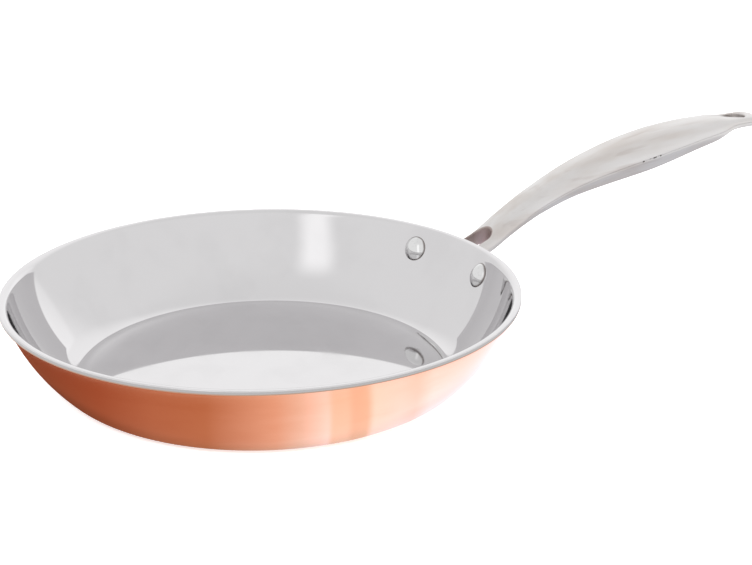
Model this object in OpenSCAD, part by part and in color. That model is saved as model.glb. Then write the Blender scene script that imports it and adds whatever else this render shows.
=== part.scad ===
// Copper frying pan: a bonded three-layer body with a riveted, hollow forked handle.
// Millimetres. The pan rests on z = 0 with its axis on Z, and the handle runs along +X.

/* [Pan body] */
// Diameter over the lip
rim_d = 260; // [235:1:285]
// Height of the rim above the base
pan_h = 45.5; // [38:0.5:55]
// Diameter of the flat base
base_d = 178; // [160:1:188]
// Outer radius between the base and the wall
corner_r = 22; // [16:1:28]
// Degrees that the corner turns through before the wall takes over
corner_turn = 44; // [40:1:52]

/* [Layers] */
// Thickness of the copper outside
copper_t = 0.5; // [0.3:0.1:1]
// Thickness of the aluminium between
core_t = 1.2; // [0.8:0.1:2]
// Thickness of the steel inside
liner_t = 0.5; // [0.3:0.1:1]

/* [Lip] */
// Width of the flat ring on top of the rim
lip_flat = 1.2; // [0.8:0.1:2]
// Radius under the lip, on the copper side
lip_r = 1.4; // [1:0.1:2.5]
// Rounding of the steel's outer edge
lip_edge_r = 0.4; // [0.2:0.1:0.5]

/* [Handle] */
// Length of the handle beyond the rim
handle_l = 227; // [200:1:250]
// Height that the handle climbs from its rivets to its eye
handle_rise = 44.2; // [32:0.2:52]
// Width and thickness of the fork
fork_w = 20; // [18:0.5:24]
fork_t = 10.5; // [9:0.5:12]
// Width and thickness of the neck
neck_w = 20.4; // [18:0.2:24]
neck_t = 14.8; // [13:0.2:18]
// Width and thickness of the grip
grip_w = 28; // [24:0.5:32]
grip_t = 24.2; // [20:0.2:26]
// Width and thickness of the shoulder before the eye
shoulder_w = 22.4; // [20:0.2:26]
shoulder_t = 16; // [12:0.2:18]
// Width and thickness of the flat eye
eye_w = 18; // [16:0.5:21]
eye_t = 8.5; // [6:0.5:10]
// Wall of the two hollow shells
shell_t = 1.5; // [1:0.1:2.2]
// Distance from the rim to the butt joint between neck and shells
joint_l = 38; // [32:1:46]
// Length of the spigot that locates the shells on the neck
spigot_l = 10; // [6:1:14]
// Gap round the spigot
spigot_fit = 0.2; // [0.1:0.1:0.5]

/* [Hanging eye] */
// Width of the hanging hole
hole_w = 11; // [8:0.5:12]
// Length of the hanging hole, from its point to its round end
hole_l = 26; // [20:0.5:30]
// Metal between the round end and the tip of the handle
hole_edge = 10.5; // [8:0.5:14]

/* [Fork and flange] */
// Width of the slot in the fork
slot_w = 12; // [9:0.5:14]
// Reach of the slot beyond the rim
slot_l = 18.5; // [14:0.5:24]
// Width of the fork where it spreads into the flange
root_w = 38; // [32:1:42]
// Thickness of the flange
flange_t = 3; // [2:0.1:4]
// Height of the flange, measured along the wall
flange_h = 17; // [15:0.5:18]

/* [Rivets] */
// Distance between the two rivets
rivet_pitch = 55; // [48:1:60]
// Distance of the rivets below the rim
rivet_drop = 12.2; // [10:0.2:14]
// Diameter and height of the domed head inside the pan
head_d = 14; // [11:0.5:16]
head_h = 3.4; // [2:0.1:4.5]
// Diameter of the shank
shank_d = 6; // [5:0.5:7]
// Diameter and height of the formed tail outside the flange
tail_d = 10; // [9:0.5:12]
tail_h = 2.4; // [1.5:0.1:3]
// Gap round the shank
bore_fit = 0.05; // [0.02:0.01:0.1]

/* [Hidden] */
$fn = 96;

// One overrun serves every cut
overrun = 5;

// Body values
rim_r = rim_d / 2;
base_r = base_d / 2;
wall_t = copper_t + core_t + liner_t;
corner_steps = 12;
wall_steps = 10;
lip_steps = 8;

// The outer skin is three arcs: corner, wall and lip, each tangent to the next
corner_c = [base_r, corner_r];
corner_end = corner_c + corner_r * [sin(corner_turn), -cos(corner_turn)];
corner_in = [-sin(corner_turn), cos(corner_turn)];
lip_c = [rim_r - lip_flat, pan_h - wall_t - lip_r];
lip_to_corner = corner_end - lip_c;
wall_r = (lip_to_corner * lip_to_corner - lip_r * lip_r)
    / (2 * (lip_r - lip_to_corner * corner_in));
wall_c = corner_end + wall_r * corner_in;
lip_turn = atan2(
    (lip_c[0] - wall_c[0]) / (wall_r + lip_r),
    (wall_c[1] - lip_c[1]) / (wall_r + lip_r)
);

// Where the rivets cross the outer skin, and how far the wall leans there
rivet_z = pan_h - rivet_drop;
rivet_lean = acos((wall_c[1] - rivet_z) / wall_r);
rivet_r = wall_c[0] + wall_r * sin(rivet_lean);
rivet_az = asin(rivet_pitch / 2 / rivet_r);

// The fork starts this far inside the outer skin, where the wall cuts it off
root_sink = 2.3;
root_x = rivet_r - root_sink;

// Places along the handle after its root, as shares of its length beyond the rim
fork_share = 0.07;
neck_share = 0.22;
grip_share = 0.58;
shoulder_share = 0.83;
eye_share = 0.895;
size_shares = [fork_share, neck_share, grip_share, shoulder_share, eye_share, 1];
size_x = concat([root_x], [for (s = size_shares) rim_r + s * handle_l]);
root_t_share = 0.9;
tip_w_share = 0.96;
tip_t_share = 0.84;
half_widths = [fork_w, fork_w, neck_w, grip_w, shoulder_w, eye_w, eye_w * tip_w_share] / 2;
half_thicks = [
    fork_t * root_t_share, fork_t, neck_t, grip_t, shoulder_t, eye_t, eye_t * tip_t_share
] / 2;
round_tops = [2.4, 2.4, 2.3, 2.3, 2.5, 3, 3.2];
round_bottoms = [2.2, 2.2, 1.9, 1.75, 1.9, 2.6, 3.2];

// The climb of the seam, as shares of the handle's rise
climb_x_shares = [0, 0.06, 0.12, 0.17, 0.22, 0.33, 0.46, 0.6, 0.74, 0.83, 0.89, 0.94, 1];
climb_shares = [0.03, 0.07, 0.157, 0.308, 0.422, 0.522, 0.685, 0.797, 0.874, 0.937, 0.965, 1, 0.997, 0.98];
climb_x = concat([root_x], [for (s = climb_x_shares) rim_r + s * handle_l]);
climb_z = [for (s = climb_shares) rivet_z + s * handle_rise];

// Places and steps along the handle
joint_x = rim_r + joint_l;
tip_x = rim_r + handle_l;
tip_turn_x = tip_x - eye_w / 2;
hole_r = hole_w / 2;
hole_x = tip_x - hole_edge - hole_r;
hole_point_x = hole_x + hole_r - hole_l;
// The hollow sinks over this slope to a share of its height, and leaves an edge before the hole
cavity_edge = 4;
cavity_slope = 5;
hollow_end_share = 0.3;
cavity_end_x = hole_point_x - cavity_edge;
// Length over which the fork spreads into the flange
flare_l = 14;
hole_steps = 20;
neck_steps = 16;
shell_steps = 30;
tip_steps = 6;
half_steps = 15;
// Last section of the rounded tip, in degrees round its turn, and how much it thins there
tip_last = 80;
tip_thin_share = 0.45;

function swap(list) = [for (i = [len(list) - 1 : -1 : 0]) list[i]];
function drop_first(list) = [for (i = [1 : len(list) - 1]) list[i]];

// Points on an arc, where a turn of zero faces straight down from the centre
function arc(c, r, from, to, steps) = [
    for (i = [0 : steps]) let (a = from + (to - from) * i / steps) c + r * [sin(a), -cos(a)]
];

// The wall arc alone, at a depth under the outer skin
function wall_arc(depth) = arc(wall_c, wall_r - depth, corner_turn, lip_turn, wall_steps);

// Half profile of the body at a depth under the outer skin, from the axis to the rim
function skin(depth) = concat(
    [[0, depth]],
    arc(corner_c, corner_r - depth, 0, corner_turn, corner_steps),
    drop_first(wall_arc(depth)),
    drop_first(arc(lip_c, -lip_r - depth, lip_turn, 0, lip_steps)),
    [[rim_r, lip_c[1] + lip_r + depth]]
);

// The steel's inner face, with its outer edge rounded
function liner_skin() = concat(
    [for (p = skin(wall_t)) if (p[0] < rim_r) p],
    arc([rim_r - lip_edge_r, pan_h - lip_edge_r], lip_edge_r, 180, 90, lip_steps)
);

// Smooth curve through values at stations, with slopes taken from each station's neighbours
function span(xs, x, i = 0) = i >= len(xs) - 2 || x < xs[i + 1] ? i : span(xs, x, i + 1);
function slope(xs, vs, i) =
    let (lo = max(i - 1, 0), hi = min(i + 1, len(xs) - 1))
    (vs[hi] - vs[lo]) / (xs[hi] - xs[lo]);
function along(xs, vs, x) =
    let (i = span(xs, x), h = xs[i + 1] - xs[i], t = (x - xs[i]) / h, u = 1 - t)
    vs[i] * u * u * (1 + 2 * t) + vs[i + 1] * t * t * (3 - 2 * t)
    + h * t * u * (u * slope(xs, vs, i) - t * slope(xs, vs, i + 1));

// How far round the tip a place is, from 0 at the start of the turn to 1 at the end
function tip_turn(x) = max(0, (x - tip_turn_x) / (tip_x - tip_turn_x));
// How far the fork has spread into the flange, from 1 at the flange to 0
function flare(x) = pow(max(0, 1 - (x - root_x) / flare_l), 2);

// Height of the seam, half width and half thickness at a place along the handle
function seam_z(x) = along(climb_x, climb_z, x);
function half_w(x) =
    (along(size_x, half_widths, x) + flare(x) * (root_w - fork_w) / 2)
    * sqrt(1 - pow(tip_turn(x), 2));
function half_t(x) =
    along(size_x, half_thicks, x) * (1 - tip_thin_share * pow(tip_turn(x), 3));

// One side of a section: a rounded arch from +Y to -Y, over (+1) or under (-1) the seam
function arch(x, side, inset, height_share = 1) =
    let (
        w = max(half_w(x) - inset, half_w(x) / 2),
        t = max(half_t(x) - inset, 0) * height_share,
        power = 2 / along(size_x, side > 0 ? round_tops : round_bottoms, x)
    )
    [for (i = [0 : half_steps]) let (a = 180 * i / half_steps)
        [x, sign(cos(a)) * w * pow(abs(cos(a)), power), seam_z(x) + side * t * pow(sin(a), power)]
    ];

// Whole section: the upper arch, then the lower one back again
function section(x, inset) = let (low = swap(arch(x, -1, inset))) concat(
    arch(x, 1, inset),
    [for (i = [1 : len(low) - 2]) low[i]]
);

// Section of one half of the handle, closed along the seam
function half_section(x, side) = arch(x, side, 0);

// How much of its height the hollow has at a place
function hollow_share(x) =
    max(hollow_end_share, min(1, (cavity_end_x - x) / cavity_slope));

// Section of the hollow in one half, carried past the seam so that it cuts it open
function hollow_section(x, side) =
    let (ring = arch(x, side, shell_t, hollow_share(x)), past = [0, 0, -side * overrun])
    concat([ring[0] + past], ring, [ring[len(ring) - 1] + past]);

// Solid through rings of an equal, even length, closed at both ends by strips across the ring
module loft(rings, inside_out = false) {
    n = len(rings[0]);
    last = (len(rings) - 1) * n;
    sides = [
        for (i = [0 : len(rings) - 2], j = [0 : n - 1])
        let (a = i * n + j, b = i * n + (j + 1) % n)
        each [[a, b + n, b], [a, a + n, b + n]]
    ];
    start = [
        for (j = [0 : n / 2 - 2])
        each [[j, j + 1, n - 2 - j], [j, n - 2 - j, n - 1 - j]]
    ];
    finish = [for (f = start) [last + f[2], last + f[1], last + f[0]]];
    faces = concat(sides, start, finish);
    polyhedron([for (r = rings) each r], inside_out ? [for (f = faces) swap(f)] : faces);
}

// One bonded layer between two depths
module layer(outer, inner) {
    rotate_extrude() polygon(concat(outer, swap(inner)));
}

// Everything under the rim and inside the outer skin
module pan_volume() {
    rotate_extrude() polygon(concat(skin(0), [[rim_r, pan_h], [0, pan_h]]));
}

// The space that food goes in
module pan_space() {
    rotate_extrude() polygon(concat(skin(wall_t), [[0, pan_h]]));
}

// Places its children on a rivet's axis: z = 0 on the outer skin, +Z into the pan
module at_rivet(side) {
    rotate([0, 0, side * rivet_az]) translate([rivet_r, 0, rivet_z]) rotate([0, -rivet_lean, 0])
        children();
}

module rivet_bore(side) {
    at_rivet(side) translate([0, 0, -flange_t - overrun])
        cylinder(d = shank_d + 2 * bore_fit, h = flange_t + wall_t + 2 * overrun);
}

module rivet_bores() {
    for (side = [-1, 1]) rivet_bore(side);
}

// Domed button of a diameter and height, standing on z = 0 with a short skirt below it
module button(d, h) {
    ball_r = (d * d / 4 + h * h) / (2 * h);
    intersection() {
        translate([0, 0, h - ball_r]) sphere(r = ball_r);
        translate([0, 0, -h]) cylinder(d = d, h = 3 * h);
    }
}

module rivet(side) {
    color("gainsboro") union() {
        intersection() {
            at_rivet(side) translate([0, 0, wall_t]) button(head_d, head_h);
            pan_space();
        }
        at_rivet(side) translate([0, 0, -flange_t - tail_h / 2])
            cylinder(d = shank_d, h = flange_t + wall_t + tail_h / 2 + head_h / 2);
        difference() {
            at_rivet(side) translate([0, 0, -flange_t]) mirror([0, 0, 1]) button(tail_d, tail_h);
            rotate_extrude() polygon(concat(
                wall_arc(-flange_t),
                [[0, wall_arc(0)[wall_steps][1]], [0, wall_arc(0)[0][1]]]
            ));
        }
    }
}

// Teardrop outline of the hanging hole, pointed towards the pan
module hole_outline() {
    reach = hole_l - hole_r;
    touch = acos(hole_r / reach);
    polygon(concat([[-reach, 0]], arc([0, 0], hole_r, touch - 90, 270 - touch, hole_steps)));
}

module hanging_hole() {
    translate([hole_x, 0, rivet_z]) linear_extrude(handle_rise + eye_t + overrun) hole_outline();
}

// Round-ended slot between the legs of the fork
module fork_slot() {
    slot_x = rim_r + slot_l - slot_w / 2;
    translate([slot_x, 0, 0]) cylinder(d = slot_w, h = pan_h + handle_rise);
    translate([root_x - overrun, -slot_w / 2, 0])
        cube([slot_x - root_x + overrun, slot_w, pan_h + handle_rise]);
}

// Curved plate that lies on the outside of the wall
module flange() {
    intersection() {
        rotate_extrude() polygon(concat(wall_arc(0), swap(wall_arc(-flange_t))));
        translate([rivet_r, 0, rivet_z]) rotate([0, -rivet_lean, 0])
            translate([0, 0, -2 * flange_h]) linear_extrude(4 * flange_h) {
                for (side = [-1, 1]) translate([0, side * rivet_pitch / 2]) circle(d = flange_h);
                square([flange_h, rivet_pitch], center = true);
            }
    }
}

module steel_liner() {
    color("silver") difference() {
        layer(skin(copper_t + core_t), liner_skin());
        rivet_bores();
    }
}

module aluminium_core() {
    color("lightgray") difference() {
        layer(skin(copper_t), skin(copper_t + core_t));
        rivet_bores();
    }
}

module copper_shell() {
    color("chocolate") difference() {
        layer(skin(0), skin(copper_t));
        rivet_bores();
    }
}

module handle_neck() {
    neck_x = [for (i = [0 : neck_steps]) root_x + (joint_x - root_x) * i / neck_steps];
    spigot_x = [joint_x - spigot_fit, joint_x + spigot_l / 2, joint_x + spigot_l];
    color("darkgray") difference() {
        union() {
            flange();
            difference() {
                loft([for (x = neck_x) section(x, 0)]);
                fork_slot();
            }
            loft([for (x = spigot_x) section(x, shell_t + spigot_fit)]);
        }
        pan_volume();
        rivet_bores();
    }
}

// Places of the shells' sections, closer together where the tip turns
shell_x = concat(
    [for (i = [0 : shell_steps]) joint_x + (tip_turn_x - joint_x) * i / shell_steps],
    [for (i = [1 : tip_steps]) tip_turn_x + (tip_x - tip_turn_x) * sin(tip_last * i / tip_steps)]
);
// Places of the hollow's sections, from before the joint to where it closes
hollow_x = concat(
    [joint_x - overrun],
    [for (x = shell_x) if (x > joint_x && x < cavity_end_x - cavity_slope) x],
    [cavity_end_x - cavity_slope, cavity_end_x]
);

module handle_shell(side) {
    color("darkgray") difference() {
        loft([for (x = shell_x) half_section(x, side)], side < 0);
        loft([for (x = hollow_x) hollow_section(x, side)], side < 0);
        hanging_hole();
    }
}

module handle_upper_shell() {
    handle_shell(1);
}

module handle_lower_shell() {
    handle_shell(-1);
}

module rivet_left() {
    rivet(1);
}

module rivet_right() {
    rivet(-1);
}

steel_liner();
aluminium_core();
copper_shell();
handle_neck();
handle_upper_shell();
handle_lower_shell();
rivet_left();
rivet_right();
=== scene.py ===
"""Looks of a copper frying pan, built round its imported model, in metres."""

import logging
import math
from collections.abc import Callable
from dataclasses import dataclass
from enum import Enum
from functools import cache
from typing import Any, Protocol

import bmesh
import bpy
from mathutils import Matrix, Vector


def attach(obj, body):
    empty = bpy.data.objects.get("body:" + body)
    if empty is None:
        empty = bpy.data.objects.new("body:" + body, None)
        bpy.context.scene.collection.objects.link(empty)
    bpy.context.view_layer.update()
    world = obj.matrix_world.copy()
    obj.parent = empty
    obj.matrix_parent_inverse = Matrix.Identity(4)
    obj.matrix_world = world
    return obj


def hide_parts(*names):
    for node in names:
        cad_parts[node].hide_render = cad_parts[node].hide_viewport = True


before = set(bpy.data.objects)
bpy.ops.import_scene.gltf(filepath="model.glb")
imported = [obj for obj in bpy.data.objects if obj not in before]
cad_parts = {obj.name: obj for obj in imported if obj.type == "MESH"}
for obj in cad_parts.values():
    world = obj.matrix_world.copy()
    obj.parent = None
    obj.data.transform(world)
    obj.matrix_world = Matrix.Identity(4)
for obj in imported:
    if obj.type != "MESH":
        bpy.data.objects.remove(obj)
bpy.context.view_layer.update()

LOG = logging.getLogger("pan")
MM = 0.001
BODY = "root"

Pair = tuple[float, float]
Triple = tuple[float, float, float]
Ring = list[Vector]


class Slot(Enum):
    """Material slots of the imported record."""

    POLISHED = "polished_steel"
    ALUMINIUM = "aluminium"
    COPPER = "copper"
    SATIN = "satin_steel"
    RIVET = "rivet_steel"


class Side(Enum):
    """The two halves of the handle, above and below its seam."""

    UPPER = 1
    LOWER = -1


class Fill(Enum):
    """What a new outline holds."""

    NOTHING = "NOTHING"
    FACE = "NGON"


class Meet(Enum):
    """What happens to a piece where a tool meets it."""

    ADD = "UNION"
    CUT = "DIFFERENCE"
    KEEP = "INTERSECT"


class Bench:
    """Modelling steps that the pieces share."""

    MERGE = 0.001 * MM
    SMOOTH_TURN = math.radians(35)

    @staticmethod
    def clear() -> None:
        """Deselects everything, so that an operator acts only on what comes next."""
        bpy.ops.object.select_all(action="DESELECT")

    @staticmethod
    def take(piece: bpy.types.Object) -> None:
        """Makes a piece the active and only selected object.

        Args:
            piece: The object to work on.
        """
        Bench.clear()
        piece.select_set(True)
        bpy.context.view_layer.objects.active = piece

    @staticmethod
    def start(name: str, count: int, fill: Fill) -> bpy.types.Object:
        """Adds a circle of points, to be moved to a piece's first outline.

        Args:
            name: Name of the new piece.
            count: Number of points on the outline.
            fill: What the outline holds.

        Returns:
            The new object, active and selected.
        """
        Bench.clear()
        bpy.ops.mesh.primitive_circle_add(vertices=count, radius=MM, fill_type=fill.value)
        piece = bpy.context.object
        piece.name = name
        piece.data.name = name
        return piece

    @staticmethod
    def spin(name: str, outline: list[Pair], steps: int) -> bpy.types.Object:
        """Turns a closed half outline round the Z axis.

        Args:
            name: Name of the new piece.
            outline: Distances from the axis and heights, in order round the outline.
            steps: Number of steps in the full turn.

        Returns:
            The turned solid, with its poles closed and its faces outwards.
        """
        piece = Bench.start(name, len(outline), Fill.NOTHING)
        for vertex, (out, up) in zip(piece.data.vertices, outline):
            vertex.co = (out, 0, up)
        bpy.ops.object.mode_set(mode="EDIT")
        bpy.ops.mesh.select_all(action="SELECT")
        bpy.ops.mesh.spin(steps=steps, angle=math.tau, center=(0, 0, 0), axis=(0, 0, 1))
        bpy.ops.mesh.select_all(action="SELECT")
        bpy.ops.mesh.remove_doubles(threshold=Bench.MERGE)
        bpy.ops.mesh.delete_loose(use_verts=True, use_edges=True, use_faces=False)
        bpy.ops.mesh.select_all(action="SELECT")
        bpy.ops.mesh.normals_make_consistent(inside=False)
        bpy.ops.object.mode_set(mode="OBJECT")
        return piece

    @staticmethod
    def loft(name: str, rings: list[Ring]) -> bpy.types.Object:
        """Extrudes a face through rings of points.

        Args:
            name: Name of the new piece.
            rings: Rings with the same number of points, in order.

        Returns:
            The closed solid, with its faces outwards.
        """
        piece = Bench.start(name, len(rings[0]), Fill.FACE)
        for vertex, place in zip(piece.data.vertices, rings[0]):
            vertex.co = place
        bpy.ops.object.mode_set(mode="EDIT")
        mesh = bmesh.from_edit_mesh(piece.data)
        order = mesh.verts.layers.int.new("order")
        for i, vertex in enumerate(mesh.verts):
            vertex[order] = i
        bpy.ops.mesh.select_all(action="SELECT")
        for ring in rings[1:]:
            bpy.ops.mesh.extrude_region_move()
            mesh = bmesh.from_edit_mesh(piece.data)
            order = mesh.verts.layers.int["order"]
            for vertex in mesh.verts:
                if vertex.select:
                    vertex.co = ring[vertex[order]]
        bmesh.update_edit_mesh(piece.data)
        bpy.ops.mesh.select_all(action="SELECT")
        bpy.ops.mesh.normals_make_consistent(inside=False)
        bpy.ops.object.mode_set(mode="OBJECT")
        piece.data.attributes.remove(piece.data.attributes["order"])
        return piece

    @staticmethod
    def modify(piece: bpy.types.Object, kind: str, **settings: Any) -> None:
        """Adds a modifier and applies it.

        Args:
            piece: The object that it changes.
            kind: The modifier's type.
            **settings: The modifier's own settings.
        """
        Bench.take(piece)
        modifier = piece.modifiers.new(kind.title(), kind)
        for key, value in settings.items():
            setattr(modifier, key, value)
        bpy.ops.object.modifier_apply(modifier=modifier.name)

    @staticmethod
    def combine(piece: bpy.types.Object, tool: bpy.types.Object, meet: Meet) -> None:
        """Changes a piece with a tool, and removes the tool.

        Args:
            piece: The object that stays.
            tool: The object that is used up.
            meet: What happens where they meet.
        """
        Bench.modify(piece, "BOOLEAN", operation=meet.value, object=tool, solver="EXACT")
        bpy.data.objects.remove(tool)

    @staticmethod
    def join(piece: bpy.types.Object, other: bpy.types.Object) -> None:
        """Joins another object's mesh to a piece.

        Args:
            piece: The object that stays.
            other: The object that becomes part of it.
        """
        Bench.take(piece)
        other.select_set(True)
        bpy.ops.object.join()

    @staticmethod
    def place(piece: bpy.types.Object, where: Matrix) -> None:
        """Moves a piece, and applies the move to its mesh.

        Args:
            piece: The object, at the origin.
            where: Where it goes in the frame.
        """
        Bench.take(piece)
        piece.matrix_world = where
        bpy.ops.object.transform_apply(location=True, rotation=True, scale=True)

    @staticmethod
    def shade(piece: bpy.types.Object) -> None:
        """Shades a piece smooth, apart from its real edges.

        Args:
            piece: The finished object.
        """
        Bench.take(piece)
        bpy.ops.object.shade_smooth_by_angle(angle=Bench.SMOOTH_TURN)


class Finish(Protocol):
    """A finish: named values, and the material that they make."""

    def paint(self) -> bpy.types.Material:
        """Makes the material."""


@cache
def painted(finish: Finish) -> bpy.types.Material:
    """The material of a finish, made when it is first asked for."""
    return finish.paint()


class SubAssembly:
    """What the sub-assemblies share: each one builds its pieces and dresses them."""

    def build(self) -> dict[str, bpy.types.Object]:
        """Makes the pieces, by the name of the node that each stands for."""
        raise NotImplementedError

    def dress(self) -> list[bpy.types.Object]:
        """Builds the pieces, and gives each one its finish and its place on the frame.

        Returns:
            The pieces.
        """
        pieces = self.build()
        for node, piece in pieces.items():
            finish, slot = NODE_LOOKS[node]
            piece.data.materials.clear()
            piece.data.materials.append(painted(finish))
            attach(piece, BODY)
            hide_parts(node)
        return list(pieces.values())


def arc(centre: Vector, radius: float, start: float, end: float, steps: int) -> list[Vector]:
    """Points on an arc, where a turn of zero faces straight down from the centre.

    Args:
        centre: Centre of the arc.
        radius: Radius, negative for an arc that curves the other way.
        start: Turn of the first point, in radians.
        end: Turn of the last point, in radians.
        steps: Number of steps between them.

    Returns:
        The points, in order.
    """
    turns = (start + (end - start) * i / steps for i in range(steps + 1))
    return [centre + radius * Vector((math.sin(a), -math.cos(a))) for a in turns]


@dataclass
class PanShape:
    """The pan's half profile: three arcs of the outer skin, and layers at depths under it."""

    rim_r: float = 130 * MM
    height: float = 45.5 * MM
    base_r: float = 89 * MM
    base_shares: tuple[float, ...] = (0, 0.5, 0.97)
    corner_r: float = 22 * MM
    corner_turn: float = math.radians(44)
    copper_t: float = 0.5 * MM
    core_t: float = 1.2 * MM
    liner_t: float = 0.5 * MM
    lip_flat: float = 1.2 * MM
    lip_r: float = 1.4 * MM
    lip_edge_r: float = 0.4 * MM
    corner_steps: int = 28
    wall_steps: int = 30
    lip_steps: int = 10

    def __post_init__(self) -> None:
        """Works out the arcs' centres, each tangent to the next."""
        out = Vector((math.sin(self.corner_turn), -math.cos(self.corner_turn)))
        self.wall_t = self.copper_t + self.core_t + self.liner_t
        self.corner_c = Vector((self.base_r, self.corner_r))
        self.lip_c = Vector((self.rim_r - self.lip_flat, self.height - self.wall_t - self.lip_r))
        end = self.corner_c + self.corner_r * out
        gap = end - self.lip_c
        self.wall_r = (gap.dot(gap) - self.lip_r**2) / (2 * (self.lip_r + gap.dot(out)))
        self.wall_c = end - self.wall_r * out
        reach = (self.lip_c - self.wall_c) / (self.wall_r + self.lip_r)
        self.lip_turn = math.atan2(reach.x, -reach.y)

    def wall(self, depth: float) -> list[Vector]:
        """Points of the wall's arc at a depth under the outer skin."""
        radius = self.wall_r - depth
        return arc(self.wall_c, radius, self.corner_turn, self.lip_turn, self.wall_steps)

    def skin(self, depth: float) -> list[Vector]:
        """Half profile at a depth under the outer skin.

        Args:
            depth: Depth under the outer skin.

        Returns:
            Points from the axis to the rim.
        """
        flat = [Vector((share * self.base_r, depth)) for share in self.base_shares]
        radius = self.corner_r - depth
        corner = arc(self.corner_c, radius, 0, self.corner_turn, self.corner_steps)
        lip = arc(self.lip_c, -self.lip_r - depth, self.lip_turn, 0, self.lip_steps)
        edge = [Vector((self.rim_r, self.lip_c.y + self.lip_r + depth))]
        return flat + corner + self.wall(depth)[1:] + lip[1:] + edge

    def lining(self) -> list[Vector]:
        """Inner face of the steel, with its outer edge rounded over.

        Returns:
            Points from the axis to the rim.
        """
        inner = [p for p in self.skin(self.wall_t) if p.x < self.rim_r - self.lip_edge_r]
        centre = Vector((self.rim_r, self.height)) - Vector((1, 1)) * self.lip_edge_r
        return inner + arc(centre, self.lip_edge_r, math.pi, math.pi / 2, self.lip_steps)


@dataclass
class PanBody(SubAssembly):
    """The three bonded layers of the body, each turned as its own solid."""

    shape: PanShape
    turn_steps: int = 288

    def layer(self, name: str, outer: list[Vector], inner: list[Vector]) -> bpy.types.Object:
        """Turns the layer between two skins.

        Args:
            name: Name of the piece.
            outer: Profile of its outer face, from the axis to the rim.
            inner: Profile of its inner face, from the axis to the rim.

        Returns:
            The layer.
        """
        outline = [tuple(p) for p in outer + inner[::-1]]
        piece = Bench.spin(name, outline, self.turn_steps)
        Bench.shade(piece)
        return piece

    def build(self) -> dict[str, bpy.types.Object]:
        """Makes the layers.

        Returns:
            The layers, by the name of the node that each stands for.
        """
        s = self.shape
        under_liner = s.copper_t + s.core_t
        return {
            "copper_shell": self.layer("copper_skin", s.skin(0), s.skin(s.copper_t)),
            "aluminium_core": self.layer("core_sheet", s.skin(s.copper_t), s.skin(under_liner)),
            "steel_liner": self.layer("steel_lining", s.skin(under_liner), s.lining()),
        }


@dataclass
class RivetSet(SubAssembly):
    """The two rivets that hold the handle's flange to the wall."""

    shape: PanShape
    flange_t: float = 3 * MM
    pitch: float = 55 * MM
    drop: float = 12.2 * MM
    root_depth: float = 2.3 * MM
    head_d: float = 14 * MM
    head_h: float = 3.4 * MM
    shank_d: float = 6 * MM
    tail_d: float = 10 * MM
    tail_h: float = 2.4 * MM
    seat: float = 0.35 * MM
    edge_r: float = 0.35 * MM
    turn_steps: int = 72
    dome_steps: int = 20
    edge_steps: int = 5
    lift: str = "lift"

    def __post_init__(self) -> None:
        """Works out where the rivets and the handle's root are, and how far the wall leans."""
        s = self.shape
        self.height = s.height - self.drop
        self.lean = math.acos((s.wall_c.y - self.height) / s.wall_r)
        self.reach = s.wall_c.x + s.wall_r * math.sin(self.lean)
        self.root_x = self.reach - self.root_depth
        self.turn = math.asin(self.pitch / 2 / self.reach)

    def axis(self, side: int) -> Matrix:
        """Frame of a rivet, with its origin on the outer skin and +Z into the pan.

        Args:
            side: 1 for the left rivet, -1 for the right one, 0 for between them.

        Returns:
            The matrix that carries a piece from the origin to that place.
        """
        return (
            Matrix.Rotation(side * self.turn, 4, "Z")
            @ Matrix.Translation((self.reach, 0, self.height))
            @ Matrix.Rotation(-self.lean, 4, "Y")
        )

    def dome(self, width: float, height: float, foot: float, way: int) -> list[Pair]:
        """Half profile of a domed button with a softly rounded foot.

        Args:
            width: Diameter of the button.
            height: Height of its crown over its foot.
            foot: Height of the foot along the rivet's axis.
            way: 1 if the dome faces into the pan, -1 if it faces out.

        Returns:
            Points from the crown to the foot.
        """
        r, e = width / 2, self.edge_r
        ball = (r * r + height * height) / (2 * height)
        most = math.asin((r - e) / ball)
        crown = [most * i / self.dome_steps for i in range(self.dome_steps + 1)]
        dome = [(ball * math.sin(a), height - ball * (1 - math.cos(a))) for a in crown]
        out, up = dome[-1][0] - e * math.sin(most), dome[-1][1] - e * math.cos(most)
        steps = range(1, self.edge_steps + 1)
        turns = [most + (math.pi / 2 - most) * i / self.edge_steps for i in steps]
        edge = [(out + e * math.sin(a), up + e * math.cos(a)) for a in turns]
        return [(out, foot + way * up) for out, up in dome + edge]

    def rivet(self, name: str, side: int) -> bpy.types.Object:
        """Makes one rivet: head inside, shank through the wall, formed tail outside.

        Args:
            name: Name of the piece.
            side: 1 for the left rivet, -1 for the right one.

        Returns:
            The rivet, in place.
        """
        seat_in = self.shape.wall_t - self.seat
        seat_out = self.seat - self.flange_t
        head = self.dome(self.head_d, self.head_h, self.shape.wall_t, 1)
        tail = self.dome(self.tail_d, self.tail_h, -self.flange_t, -1)
        shank = self.shank_d / 2
        outline = head + [(head[-1][0], seat_in), (shank, seat_in)]
        outline += [(shank, seat_out), (tail[-1][0], seat_out)] + tail[::-1]
        piece = Bench.spin(name, outline, self.turn_steps)
        lift = piece.data.attributes.new(self.lift, "FLOAT", "POINT")
        for vertex, value in zip(piece.data.vertices, lift.data):
            up = vertex.co.z
            value.value = max(up - self.shape.wall_t, -self.flange_t - up)
        Bench.place(piece, self.axis(side))
        Bench.shade(piece)
        return piece

    def build(self) -> dict[str, bpy.types.Object]:
        """Makes both rivets, by the name of the node that each stands for."""
        return {
            "rivet_left": self.rivet("left_rivet", 1),
            "rivet_right": self.rivet("right_rivet", -1),
        }


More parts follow.
